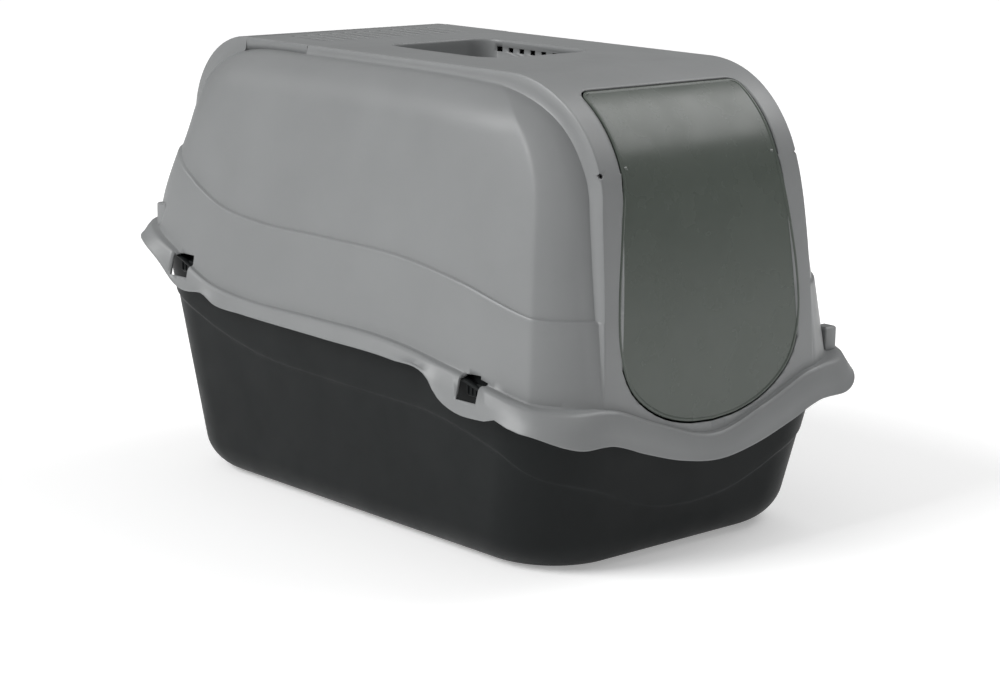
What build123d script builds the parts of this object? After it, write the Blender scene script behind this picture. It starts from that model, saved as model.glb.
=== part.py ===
"""Hooded cat litter box: base tray, hood, swing door on two pins, filter cover and filter pad.

Millimetres. +Z is up, the door faces -Y, the long side runs along Y, X is the width.
The origin is on the floor, in the middle of the box.
"""
from build123d import *
import math
import os

# Overall size
LENGTH = 600.0              # over the skirt, front to back
WIDTH = 410.0               # over the skirt, side to side
HEIGHT = 415.0              # floor to the top of the raised deck band
WALL = 2.5                  # moulded wall, all pieces
FIT = 0.3                   # gap between two pieces that are lifted apart
FAR = 400.0                 # half size of a cutting block, larger than the part

END = LENGTH / 2
SIDE = WIDTH / 2

# Hood walls: a plan at a sloping lower plane and one above the deck
SKIRT_REACH = 8.5           # skirt beyond the walls at the lower plane
LOW_MID_Z = 150.0
LOW_SLOPE = 0.15
LOW_HALF_W = SIDE - SKIRT_REACH
LOW_FRONT, LOW_BACK = END - SKIRT_REACH, END - SKIRT_REACH + 1
LEAN_SIDE, LEAN_FRONT, LEAN_BACK = 42.5, 36.5, 16.5     # in, from the lower plan to the top one
TOP_HALF_W = LOW_HALF_W - LEAN_SIDE
TOP_FRONT, TOP_BACK = LOW_FRONT - LEAN_FRONT, LOW_BACK - LEAN_BACK
TOP_PLAN_Z = 430.0          # height of the top plan, above the deck
PLAN_CORNER = 54.0
FRONT_WALL_Y = LOW_FRONT - 26.5     # the front wall and its skirt lie in front of this
CREASE_RISE = 68.0          # the crease lies this far above the rim
BELT_PROUD = 2.0            # the belt below the crease stands out this far
BAND_PROUD = 8.0            # the middle band stands this far above the side decks
DECK = HEIGHT - BAND_PROUD  # side deck height
ROUND_FRONT, ROUND_SIDE, ROUND_BACK = 107.0, 45.0, 76.0
ROUND_OVER = 0.5            # how far a rounding reaches past tangency with its wall
BAND_HALF = TOP_HALF_W - 30.0

# Rim line that the hood and the tray share: (distance from the middle, height) along a side
RIM_SIDE = [(-END - 20, 152), (-END + 50, 157), (-END + 130, 176), (-END + 210, 187), (10, 189),
            (END - 190, 190), (END - 130, 198), (END - 70, 222), (END - 20, 239), (END + 20, 241)]
DIP_HALF = BAND_HALF + 2    # half width of the low place of the rim under the door
DIP_LOW = 114.0             # rim height at the middle of the front
DIP_MID = (BAND_HALF / 2, 130.0)    # a point half way up the dip
SKIRT_DROP = 17.0           # skirt height below the rim on sides and back
SKIRT_FRONT = [(0, 90), (BAND_HALF - 79, 96), (BAND_HALF - 34, 109), (BAND_HALF + 4, 122),
               (SIDE - 40, 124), (SIDE - 9, 133)]
SKIRT_CORNER = 48.0         # plan radius of the skirt

# Middle band
BAND_R_TOP = 114.0          # front upper curve of the band
BAND_CENTRE_Y = 140.0 - END
BAND_R_LOW = 1330.0         # nearly flat curve of the band below the upper one
BAND_JOIN = 9.0             # degrees where the two curves meet, above level
BAND_R_BACK = ROUND_BACK + BAND_PROUD

# Door
DOOR_T = 2.5
DOOR_GAP = 1.5
DOOR_EDGE = [(0, 123), (BAND_HALF - 64, 134), (BAND_HALF - 26, 162), (BAND_HALF - 12, 212),
             (BAND_HALF - 19, 280), (BAND_HALF - 29, 340)]
DOOR_TOP_ANGLE = 28.5       # degrees forward of upright, seen from the band curve's centre
DOOR_TOP_CORNER = 10.0
PIVOT_Y, PIVOT_Z = BAND_CENTRE_Y - 101.5, 340.0
PIN_R = 2.2
PIN_RUN = 0.05              # running gap of the door on its pins, per side
LUG_R = 5.0
LUG_T = 5.0
LUG_INSET = 3.0             # door edge to lug
PIN_RECESS = 1.0            # pin end below the band's side face

# Handle recess in the deck
RECESS_X = 124.0
RECESS_FRONT, RECESS_BACK = -72.0, 77.0
RECESS_CORNER = 25.0
RECESS_DEPTH = 43.0
VENT_W, VENT_H = 8.0, 6.0   # small square holes along the recess's side walls
VENT_PITCH = 15.0
VENT_COUNT = 8
VENT_DOWN = 12.0

# Filter cover and pad
COVER_LEN = 93.0
COVER_BACK = END - 95
COVER_FRONT = COVER_BACK - COVER_LEN
SLOT_PITCH = 15.0
SLOT_MARGIN = 34.0          # side of the band to the row of slots
SLOT_COUNT = round(2 * (BAND_HALF - SLOT_MARGIN) / SLOT_PITCH)
SLOT_LEN = 58.0
SLOT_W = 4.5
PAD_T = 4.0
PAD_MARGIN = 8.0

# Snap clips: (distance from the middle, lobe length, lobe low edge, window length)
CLIPS = [(102.0 - END, 100.0, 140.0, 32.0), (END - 91, 76.0, 183.0, 32.0)]
WINDOW_TALL = 24.0
WINDOW_BRIDGE = 12.0        # skirt left below a window
HOOK_LEN = 24.0
HOOK_TALL = 12.0
HOOK_GAP = 0.6              # hook end to the skirt's inner face

# Tray
TRAY_HALF_W, TRAY_FRONT, TRAY_BACK = SIDE - 40, END - 39, END - 37      # at the floor
TRAY_CORNER = 80.0
TRAY_TOP_IN = 6.5           # tray wall inside the hood wall at the lower plane
TRAY_TOP_HALF_W = LOW_HALF_W - TRAY_TOP_IN
TRAY_TOP_FRONT, TRAY_TOP_BACK = LOW_FRONT - TRAY_TOP_IN - 0.5, LOW_BACK - TRAY_TOP_IN + 0.5
TRAY_TOP_MID_Z = 215.0
TRAY_TOP_CORNER = 54.0
TRAY_FOOT_ROUND = 30.0
FLANGE_OUT = SIDE - 6       # half width of the tray's rim flange
FLANGE_T = 3.0


def tilted(mid_z, slope):
    """A plane at a height that climbs towards the back."""
    return Plane(origin=(0, 0, mid_z), x_dir=(1, 0, 0), z_dir=(0, -slope, 1))


def plan(plane, half_w, front, back, corner, slope=0.0):
    """A rounded rectangle on a plane, measured in plan."""
    stretch = math.hypot(1, slope)
    middle = (back - front) / 2 * stretch
    return plane * Pos(0, middle) * RectangleRounded(2 * half_w, (front + back) * stretch, corner)


def hood_walls(grow):
    """The hood's leaning walls as one solid block, larger all round by grow."""
    low = plan(tilted(LOW_MID_Z, LOW_SLOPE), LOW_HALF_W + grow, LOW_FRONT + grow,
               LOW_BACK + grow, PLAN_CORNER + grow, LOW_SLOPE)
    top = plan(Plane.XY.offset(TOP_PLAN_Z), TOP_HALF_W + grow, TOP_FRONT + grow,
               TOP_BACK + grow, PLAN_CORNER + grow)
    return loft([low, top], ruled=True)


def lean(low_reach, top_reach, low_z):
    """How far a hood wall leans in for each millimetre up."""
    return (low_reach - top_reach) / (TOP_PLAN_Z - low_z)


def rounding(reach, slope, radius, deck):
    """Centre distance and the wall end of the curve between a leaning wall and the deck."""
    centre = (reach + slope * (TOP_PLAN_Z - deck + radius)
              - (radius - ROUND_OVER) * math.hypot(1, slope))
    angle = math.atan(slope)
    middle = (angle + math.pi / 2) / 2
    at = [(centre + radius * math.cos(a), deck - radius + radius * math.sin(a))
          for a in (math.pi / 2, middle, angle)]
    return at


def section(left, right):
    """A block's outline below the deck: rounded at both ends, open to the far sides below."""
    mirror = [(-a, z) for a, z in left]
    lines = [ThreePointArc(*mirror), ThreePointArc(*right),
             Line(mirror[0], right[0]),
             Polyline(mirror[2], (-FAR, mirror[2][1]), (-FAR, 0), (FAR, 0),
                      (FAR, right[2][1]), right[2])]
    return make_face(Curve() + lines)


def end_rounding(grow):
    """Block that rounds the hood's front and back into the deck."""
    deck = DECK + grow
    front = rounding(TOP_FRONT + grow, lean(LOW_FRONT, TOP_FRONT, LOW_MID_Z - LOW_SLOPE * LOW_FRONT),
                     ROUND_FRONT + grow, deck)
    back = rounding(TOP_BACK + grow, lean(LOW_BACK, TOP_BACK, LOW_MID_Z + LOW_SLOPE * LOW_BACK),
                    ROUND_BACK + grow, deck)
    return extrude(Plane.YZ * section(front, back), FAR, both=True)


def side_rounding(grow):
    """Block that rounds the hood's two sides into the deck."""
    ends = []
    for y in (-FAR, FAR):
        slope = lean(LOW_HALF_W, TOP_HALF_W, LOW_MID_Z + LOW_SLOPE * y)
        arc = rounding(TOP_HALF_W + grow, slope, ROUND_SIDE + grow, DECK + grow)
        ends.append(Plane.XZ.offset(-y) * section(arc, arc))
    return loft(ends, ruled=True)


def below_side_line(rise):
    """Everything below the rim line of the sides, lifted by rise."""
    line = Spline([(y, z + rise) for y, z in RIM_SIDE])
    start, end = line @ 0, line @ 1
    edge = Polyline((end.X, end.Y), (end.X, -FAR), (start.X, -FAR), (start.X, start.Y))
    return extrude(Plane.YZ * make_face(Curve() + [line, edge]), FAR, both=True)


def front_zone(outline):
    """A mirrored outline above the dip or skirt line, pushed through the front wall only."""
    line = Spline([(-x, z) for x, z in reversed(outline[1:])] + list(outline))
    start, end = line @ 0, line @ 1
    edge = Polyline((end.X, end.Y), (end.X, HEIGHT / 2), (start.X, HEIGHT / 2), (start.X, start.Y))
    face = Plane.XZ.offset(FRONT_WALL_Y) * make_face(Curve() + [line, edge])
    return extrude(face, FAR)


def above_rim(rise):
    """Everything above the shared rim line, lifted by rise."""
    side = Box(2 * FAR, 2 * LENGTH, 2 * FAR, align=(Align.CENTER, Align.CENTER, Align.MIN))
    dip = [(0, DIP_LOW + rise), (DIP_MID[0], DIP_MID[1] + rise), (DIP_HALF, RIM_SIDE[0][1] + 1 + rise)]
    return side - below_side_line(rise) + front_zone(dip)


def band_outline(grow):
    """Side view of the middle band: two front curves, the deck and the back curve."""
    top = HEIGHT + grow
    centre_z = HEIGHT - BAND_R_TOP
    r_top, r_low, r_back = BAND_R_TOP + grow, BAND_R_LOW + grow, BAND_R_BACK + grow
    join = math.radians(BAND_JOIN)
    low_y = BAND_CENTRE_Y + (BAND_R_LOW - BAND_R_TOP) * math.cos(join)
    low_z = centre_z - (BAND_R_LOW - BAND_R_TOP) * math.sin(join)

    def on(cy, cz, r, a):
        return (cy - r * math.cos(a), cz + r * math.sin(a))

    foot = -join / 2
    slope = lean(LOW_BACK, TOP_BACK, LOW_MID_Z + LOW_SLOPE * LOW_BACK)
    back = rounding(TOP_BACK + BAND_PROUD + grow, slope, r_back, top)
    upper = ThreePointArc(on(BAND_CENTRE_Y, centre_z, r_top, math.pi / 2),
                          on(BAND_CENTRE_Y, centre_z, r_top, math.pi / 4),
                          on(BAND_CENTRE_Y, centre_z, r_top, join))
    lower = ThreePointArc(on(low_y, low_z, r_low, join), on(low_y, low_z, r_low, join / 4),
                          on(low_y, low_z, r_low, foot))
    end = lower @ 1
    rest = Polyline(back[2], (back[2][0] + slope * back[2][1], 0), (end.X, 0), (end.X, end.Y))
    return make_face(Curve() + [upper, lower, Line((BAND_CENTRE_Y, top), back[0]),
                                ThreePointArc(*back), rest])


def band(grow):
    """The middle band as one solid block; at the back it ends at the crease."""
    block = extrude(Plane.YZ * band_outline(grow), BAND_HALF + grow, both=True)
    back_half = Box(2 * FAR, FAR, 2 * FAR, align=(Align.CENTER, Align.MIN, Align.CENTER))
    block -= below_side_line(CREASE_RISE - grow) & back_half
    return block - cover_seat(-grow)


def cover_seat(grow):
    """The place of the filter cover on the band, larger by grow at its ends and below."""
    length = COVER_BACK - COVER_FRONT
    return Pos(0, COVER_FRONT + length / 2, DECK - grow) * Box(
        2 * FAR, length + 2 * grow, FAR, align=(Align.CENTER, Align.CENTER, Align.MIN))


def hood_block(grow):
    """Hood without openings as one solid block."""
    block = hood_walls(grow) & end_rounding(grow) & side_rounding(grow)
    block += hood_walls(BELT_PROUD + grow) & below_side_line(CREASE_RISE + grow)
    return block + band(grow)


def skirt_prism(inset):
    """Upright prism over the skirt's plan, smaller all round by inset."""
    return extrude(RectangleRounded(WIDTH - 2 * inset, LENGTH - 2 * inset, SKIRT_CORNER - inset), FAR)


def clip_lobes():
    """The longer places of the skirt at the clips."""
    lobes = []
    for y, length, low, _ in CLIPS:
        face = Plane.YZ * Pos(y, low + length / 2) * RectangleRounded(length, length, length / 4)
        lobes.append(extrude(face, FAR, both=True))
    return lobes


def clip_windows():
    """Openings for the tray's hooks, through the skirt on both sides."""
    reach = LOW_HALF_W - WALL
    windows = []
    for side in (-1, 1):
        for y, _, low, length in CLIPS:
            middle = (side * (reach + WIDTH / 2) / 2, y, low + WINDOW_BRIDGE + WINDOW_TALL / 2)
            windows.append(Pos(*middle) * Box(WIDTH / 2 - reach + 2, length, WINDOW_TALL))
    return windows


def door_outline(gap):
    """Front view of the door, open at the top, larger by gap."""
    ends = [(-DOOR_EDGE[1][0], DOOR_EDGE[1][1])] + DOOR_EDGE + [
        (DOOR_EDGE[-1][0], 2 * DOOR_EDGE[-1][1] - DOOR_EDGE[-2][1])]
    points = []
    for before, (x, z), after in zip(ends, ends[1:], ends[2:]):
        along = math.hypot(after[0] - before[0], after[1] - before[1])
        points.append((x + gap * (after[1] - before[1]) / along,
                       z - gap * (after[0] - before[0]) / along))
    side = Spline(points, tangents=[(1, 0), (-0.12, 1)])
    top = HEIGHT + 20
    upper = Polyline(points[-1], (points[-1][0], top), (0, top), points[0])
    half = make_face(Curve() + [side, upper])
    return half + mirror(half, Plane.YZ)


def door_zone(gap):
    """Block that holds the door, larger by gap; the top edge is square to the curve."""
    block = extrude(Plane.XZ.offset(LENGTH / 4) * door_outline(gap), LENGTH / 3)
    angle = math.radians(DOOR_TOP_ANGLE)
    radial = Plane(origin=(0, BAND_CENTRE_Y, HEIGHT - BAND_R_TOP), x_dir=(1, 0, 0),
                   z_dir=(0, -math.sin(angle), math.cos(angle)))
    block -= radial * Pos(0, gap, 0) * Box(
        2 * FAR, FAR, 2 * FAR, align=(Align.CENTER, Align.MIN, Align.CENTER))
    corner = DOOR_TOP_CORNER + gap
    middle = (DOOR_EDGE[-1][0] + gap - corner, gap - corner)
    for side in (-1, 1):
        spare = Pos(side * (middle[0] + corner), middle[1] + corner) * Rectangle(
            2 * corner, 2 * corner) - Pos(side * middle[0], middle[1]) * Circle(corner)
        spare &= Pos(side * (middle[0] + corner), middle[1] + corner) * Rectangle(
            2 * corner, 2 * corner)
        block -= extrude(radial * spare, FAR)
    return block


def pivot_plate(inner_x, thick, hole_r, side, surface_in):
    """A plate round the pivot, from inner_x outwards, joined to the curved wall in front."""
    axis = Plane(origin=(side * inner_x, PIVOT_Y, PIVOT_Z), x_dir=(0, 1, 0), z_dir=(side, 0, 0))
    body = extrude(axis * Circle(LUG_R), thick)
    body += axis * Pos(-LUG_R / 2, 0, thick / 2) * Box(LUG_R, 2 * LUG_R, thick)
    body &= extrude(Plane.YZ * band_outline(-surface_in), FAR, both=True)
    return body - extrude(axis * Circle(hole_r), thick)


def recess_plan(inset):
    """Plan of the handle recess, smaller all round by inset."""
    length = RECESS_BACK - RECESS_FRONT
    return Pos(0, (RECESS_BACK + RECESS_FRONT) / 2) * RectangleRounded(
        RECESS_X - 2 * inset, length - 2 * inset, RECESS_CORNER - inset)


def recess_pan():
    """Walls and floor of the handle recess, with small vent holes along both sides."""
    floor = HEIGHT - RECESS_DEPTH
    pan = Pos(0, 0, floor - WALL) * extrude(recess_plan(-WALL), RECESS_DEPTH)
    pan -= Pos(0, 0, floor) * extrude(recess_plan(0), RECESS_DEPTH)
    middle = (RECESS_FRONT + RECESS_BACK) / 2
    for i in range(VENT_COUNT):
        y = middle + (i - (VENT_COUNT - 1) / 2) * VENT_PITCH
        pan -= Pos(0, y, HEIGHT - VENT_DOWN) * Box(2 * RECESS_X, VENT_W, VENT_H)
    return pan


def slots(width, height):
    """The row of long vent slots over the filter."""
    middle = (COVER_FRONT + COVER_BACK) / 2
    row = [Pos((i - (SLOT_COUNT - 1) / 2) * SLOT_PITCH, middle, height)
           * extrude(SlotOverall(SLOT_LEN, width, rotation=90), 4 * WALL, both=True)
           for i in range(SLOT_COUNT)]
    return row


def rim_ring():
    """The shelf over the tray's flange and the skirt round it."""
    shelf = (skirt_prism(0) - hood_walls(-WALL)) & above_rim(-WALL) - above_rim(0)
    skirt_zone = above_rim(-SKIRT_DROP) + front_zone(SKIRT_FRONT)
    for lobe in clip_lobes():
        skirt_zone += lobe
    skirt = ((skirt_prism(0) - skirt_prism(WALL)) & skirt_zone) - above_rim(0)
    return shelf + skirt


def make_hood():
    """Hood: walls, raised band, recess, filter deck, rim with skirt, and pivot plates."""
    hood = (hood_block(0) - hood_block(-WALL)) & above_rim(-WALL)
    hood += rim_ring()
    hood -= Pos(0, 0, HEIGHT - WALL) * extrude(recess_plan(0), 2 * WALL)
    hood += recess_pan() & hood_block(0)
    hood -= slots(SLOT_W, DECK)
    hood -= door_zone(DOOR_GAP)
    hood -= clip_windows()
    for side in (-1, 1):
        hood += pivot_plate(DOOR_EDGE[-1][0] + DOOR_GAP + 1, LUG_T, PIN_R, side, WALL / 2)
        bore = Plane(origin=(0, PIVOT_Y, PIVOT_Z), x_dir=(0, 1, 0), z_dir=(side, 0, 0))
        hood -= bore * Pos(0, 0, DOOR_EDGE[-1][0] + DOOR_GAP) * extrude(Circle(PIN_R), BAND_HALF)
    return hood


def make_door():
    """Door: a curved plate that hangs on two lugs."""
    plate = extrude(Plane.YZ * (band_outline(0) - band_outline(-DOOR_T)), FAR, both=True)
    door = plate & door_zone(0)
    for side in (-1, 1):
        door += pivot_plate(DOOR_EDGE[-1][0] - LUG_INSET - LUG_T, LUG_T, PIN_R + PIN_RUN, side,
                            DOOR_T / 4)
        bore = Plane(origin=(0, PIVOT_Y, PIVOT_Z), x_dir=(0, 1, 0), z_dir=(side, 0, 0))
        start = DOOR_EDGE[-1][0] - LUG_INSET - LUG_T - 1
        door -= bore * Pos(0, 0, start) * extrude(Circle(PIN_R + PIN_RUN), FAR)
    return door


def make_pin(side):
    """Hinge pin from inside the door's lug to just below the band's side face."""
    start = DOOR_EDGE[-1][0] - LUG_INSET - LUG_T
    axis = Plane(origin=(side * start, PIVOT_Y, PIVOT_Z), x_dir=(0, 1, 0), z_dir=(side, 0, 0))
    return extrude(axis * Circle(PIN_R), BAND_HALF - PIN_RECESS - start)


def make_cover():
    """Filter cover: a shallow cap that finishes the band, with vent slots."""
    outer = extrude(Plane.YZ * band_outline(0), BAND_HALF, both=True) & cover_seat(-FIT)
    length = COVER_BACK - COVER_FRONT - 2 * FIT
    inner = Pos(0, (COVER_BACK + COVER_FRONT) / 2, 0) * Box(
        2 * (BAND_HALF - WALL), length - 2 * WALL, HEIGHT - WALL,
        align=(Align.CENTER, Align.CENTER, Align.MIN))
    return outer - inner - slots(SLOT_W, HEIGHT)


def make_pad():
    """Carbon filter pad, held under the cover."""
    length = COVER_BACK - COVER_FRONT - 2 * PAD_MARGIN
    return Pos(0, (COVER_BACK + COVER_FRONT) / 2, DECK + 2 * FIT) * Box(
        2 * (BAND_HALF - PAD_MARGIN), length, PAD_T, align=(Align.CENTER, Align.CENTER, Align.MIN))


def tray_block(grow):
    """Tray without openings as one solid block with a rounded foot."""
    low = plan(Plane.XY.offset(-grow), TRAY_HALF_W + grow, TRAY_FRONT + grow, TRAY_BACK + grow,
               TRAY_CORNER + grow)
    top = plan(tilted(TRAY_TOP_MID_Z, LOW_SLOPE), TRAY_TOP_HALF_W + grow, TRAY_TOP_FRONT + grow,
               TRAY_TOP_BACK + grow, TRAY_TOP_CORNER + grow, LOW_SLOPE)
    block = loft([low, top], ruled=True)
    foot = block.faces().sort_by(Axis.Z)[0].edges()
    return fillet(foot, TRAY_FOOT_ROUND + grow)


def make_tray():
    """Base tray: leaning walls, a rim flange under the hood's shelf and four hooks."""
    top = -WALL - FIT
    tray = tray_block(0) - tray_block(-WALL) - above_rim(top)
    out = WIDTH / 2 - FLANGE_OUT
    tray += (skirt_prism(out) - tray_block(-WALL)) & above_rim(top - FLANGE_T) - above_rim(top)
    end = WIDTH / 2 - WALL - HOOK_GAP
    for side in (-1, 1):
        for y, _, low, _ in CLIPS:
            start = FLANGE_OUT - 2 * FLANGE_T
            middle = (side * (start + end) / 2, y, low + WINDOW_BRIDGE + HOOK_TALL / 2 + 2)
            hook = Pos(*middle) * Box(end - start, HOOK_LEN, HOOK_TALL)
            tray += hook - above_rim(top)
    return tray


PARTS = {
    "base_tray": make_tray,
    "hood": make_hood,
    "door": make_door,
    "hinge_pin_left": lambda: make_pin(-1),
    "hinge_pin_right": lambda: make_pin(1),
    "filter_cover": make_cover,
    "filter_pad": make_pad,
}

os.makedirs("parts", exist_ok=True)
for name, make in PARTS.items():
    solid = make()
    solid.label = name
    export_step(solid, os.path.join("parts", name + ".step"))
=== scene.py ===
"""Looks of the hooded cat litter box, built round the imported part.

Lengths below are millimetres in the part's frame: +Z up, the door faces -Y, X is the width.
Every surface is a grid of rays cast onto a shape that is given by a few sizes.
"""
import math

import bmesh
import bpy
import numpy as np
from mathutils import Matrix, Vector


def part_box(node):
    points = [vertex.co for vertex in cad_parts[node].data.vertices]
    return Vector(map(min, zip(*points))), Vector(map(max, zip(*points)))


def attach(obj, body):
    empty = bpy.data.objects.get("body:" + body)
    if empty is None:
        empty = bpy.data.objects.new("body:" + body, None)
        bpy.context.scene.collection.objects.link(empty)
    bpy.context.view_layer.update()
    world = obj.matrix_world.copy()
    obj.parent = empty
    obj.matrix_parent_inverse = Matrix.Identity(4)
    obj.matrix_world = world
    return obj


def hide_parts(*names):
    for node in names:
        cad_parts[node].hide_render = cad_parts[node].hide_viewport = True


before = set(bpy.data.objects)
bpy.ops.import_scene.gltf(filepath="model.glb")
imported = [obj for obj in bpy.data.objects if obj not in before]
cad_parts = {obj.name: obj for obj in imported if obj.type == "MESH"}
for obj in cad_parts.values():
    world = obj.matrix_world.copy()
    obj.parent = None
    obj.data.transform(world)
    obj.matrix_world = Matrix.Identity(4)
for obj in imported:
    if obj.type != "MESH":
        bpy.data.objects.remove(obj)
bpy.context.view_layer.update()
MM = 0.001

# Sizes shared with the CAD part
HALF_L, HALF_W, TOP = 300.0, 205.0, 415.0
PROUD = 8.0                       # middle band above the side decks
BAND_HALF = 124.0                 # half width of the band on the deck
SIDE_X = 127.4                    # where the side walls' columns start, just outside the band
DECK = TOP - PROUD
WALL = 2.5
LOW_Z, LOW_SLOPE, PLAN_Z = 150.0, 0.15, 430.0
W_TOP, F_TOP, B_TOP = 154.0, 255.0, 276.0          # half width, front and back at PLAN_Z
W_LEAN, F_LEAN, B_LEAN = 42.5, 36.5, 16.5
R_FRONT, R_SIDE, R_BACK = 107.0, 45.0, 76.0
RIM = [(-320, 152), (-250, 157), (-170, 176), (-90, 187), (10, 189), (110, 190), (170, 198),
       (230, 222), (280, 239), (320, 241)]
DIP = [(-62, 130), (0, 114), (62, 130), (126, 153), (134, 154)]
CREASE, BELT = 68.0, 2.6          # height of the crease above the rim line, and how proud the belt is
# Arcs of the front corner, each running into the next: centre from the side and front walls,
# radius, first and last angle
FRONT_ARCS = [(-600, -146.3, 600, 0, 10.5), (-17.92, -38.46, 8, 10.5, 34), (-75.2, -77.1, 77.1, 34, 90)]
BAND_Y, BAND_Z, BAND_R, BAND_R_LOW, BAND_JOIN = -160.0, 301.0, 114.0, 1330.0, math.radians(9)
BACK_Y, BACK_Z = 207.2, 331.0
BAND_LOW_Y = BAND_Y + (BAND_R_LOW - BAND_R) * math.cos(BAND_JOIN)     # centre of the flatter lower arc
BAND_LOW_Z = BAND_Z - (BAND_R_LOW - BAND_R) * math.sin(BAND_JOIN)
BAND_EDGE = [(90, 130), (200, 129), (300, 124.5), (340, 121), (380, 121.5), (415, 124)]
DOOR = [(0, 123), (30, 125.5), (60, 134), (84, 148), (98, 162), (108, 184), (112, 212), (110, 245),
        (105, 280), (100, 310), (95, 340), (95, 420)]
DOOR_TOP = math.radians(28.5)
DOOR_GAP, DOOR_CORNER = 1.8, 10.0
PIVOT_Y, PIVOT_Z = -261.5, 340.0
PIN_HOLE_X, PIN_HOLE_R = 118.5, 2.3
SEAT = (112.0, 205.0)             # filter cover, front and back
SLOTS, SLOT_PITCH, SLOT_Y = 12, 15.0, 158.5
VENTS, VENT_PITCH, VENT_HALF = 8, 15.0, 3.5
VENT_TOP, VENT_LOW = TOP - 7, TOP - 11.5
RECESS = (62.0, -72.0, 77.0, 25.0)      # half width, front, back, corner radius
RECESS_DEEP = 43.0
SKIRT_SIDE = [(-300, 136), (-284, 137), (-250, 141), (-244, 145), (-220, 140), (-188, 141), (-164, 151),
              (-151, 165), (-107, 171), (-10, 173), (109, 175), (150, 177), (172, 185), (194, 183),
              (213, 187), (240, 206), (268, 220), (300, 223)]
SKIRT_FRONT = [(-45, 96), (0, 90), (45, 96), (90, 109), (128, 122), (165, 124), (196, 133), (205, 136)]
SKIRT_R = 48.0
# Skirt from the rim outwards. Groove: share of the way out, drop below the rim. Slope: share of the
# way out, share of the way down. Rolled edge: share of the way out, height above the lower edge.
SKIRT_GROOVE = [(0.06, 1.6), (0.22, 2.4), (0.36, 2.2), (0.5, 3.2), (0.62, 5.5)]
SKIRT_SLOPE = (0.86, 0.62)
SKIRT_EDGE = [(0.97, 2.0), (1.0, 0.9), (0.995, 0.2), (0.97, 0.0)]
CLIPS = [(-198.0, 140.0), (209.0, 183.0)]           # place along the side, lobe low edge
WINDOW = (-13, 11, 12, 32)        # clip window: from and to along the side, above the lobe's low edge
EARS = [(1, -1, 156.0), (-1, 1, 236.0)]             # side, end and height of the two small ears
BOX_Z0 = 318.0                    # rays below this height are level, above it they fan out


def through(points):
    """Smooth curve through points, flat at its turning points."""
    xs, ys = np.array(points, float).T
    rise = np.diff(ys) / np.diff(xs)
    slope = np.concatenate([[rise[0]], (rise[:-1] + rise[1:]) / 2, [rise[-1]]])
    slope[1:-1] = np.where(rise[:-1] * rise[1:] <= 0, 0, slope[1:-1])

    def at(x):
        x = np.clip(np.asarray(x, float), xs[0], xs[-1])
        i = np.clip(np.searchsorted(xs, x) - 1, 0, len(xs) - 2)
        h = xs[i + 1] - xs[i]
        t = (x - xs[i]) / h
        return ((1 + 2 * t) * (1 - t) ** 2 * ys[i] + t * (1 - t) ** 2 * h * slope[i]
                + t * t * (3 - 2 * t) * ys[i + 1] + t * t * (t - 1) * h * slope[i + 1])
    return at


rim_side, dip_at, skirt_side, skirt_front, band_edge = (
    through(p) for p in (RIM, DIP, SKIRT_SIDE, SKIRT_FRONT, BAND_EDGE))


def rim_height(x, y):
    """Height of the line where hood and tray meet."""
    side = rim_side(y)
    return np.where(y < -260, np.minimum(side, dip_at(np.abs(x)) + (side - 154) * (np.abs(x) > 126)), side)


def skirt_height(x, y):
    """Height of the skirt's lower edge."""
    front = np.clip((-y - 262) / 34, 0, 1) * (y < 0)
    front = front * front * (3 - 2 * front)
    return skirt_side(y) * (1 - front) + skirt_front(np.abs(x)) * front


def reach(z, top, lean, radius):
    """How far out a leaning wall is at a height, rounded over into the deck."""
    wall = top + lean * (PLAN_Z - z)
    centre = top + lean * (PLAN_Z - DECK + radius) - radius * np.hypot(1, lean)
    up = np.clip(z - DECK + radius, 0, radius)
    arc = centre + np.sqrt(np.maximum(radius ** 2 - up ** 2, 0))
    return np.where(z > DECK - radius + radius * np.sin(np.arctan(lean)), arc, wall)


def corner(dx, dy, cx, cy, r, low, high):
    """Distance outside a plan corner that is an arc between two angles."""
    a = np.clip(np.arctan2(dy - cy, dx - cx), low, high)
    best = [(dx - cx) * np.cos(b) + (dy - cy) * np.sin(b) - r for b in (a, low, high)]
    return np.maximum.reduce(best)


back_corner = through([(150, 50), (255, 50), (340, 79), (372, 83), (415, 70)])


def outside_hood(p):
    """How far outside the hood's leaning walls and side decks points are."""
    x, y, z = np.abs(p[..., 0]), p[..., 1], np.minimum(p[..., 2], DECK)
    w = reach(z, W_TOP, W_LEAN / (PLAN_Z - LOW_Z - LOW_SLOPE * y), R_SIDE)
    f = reach(z, F_TOP, F_LEAN / (PLAN_Z - LOW_Z + LOW_SLOPE * 291.5), R_FRONT)
    b = reach(z, B_TOP, B_LEAN / (PLAN_Z - LOW_Z - LOW_SLOPE * 292.5), R_BACK)
    r_back = back_corner(z)
    arcs = [corner(x - w, -y - f, cx, cy, r, math.radians(low), math.radians(high))
            for cx, cy, r, low, high in FRONT_ARCS]
    return np.maximum.reduce(arcs + [
        corner(x - w, y - b, -r_back, -r_back, r_back, 0, math.pi / 2),
        p[..., 2] - DECK])


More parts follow.
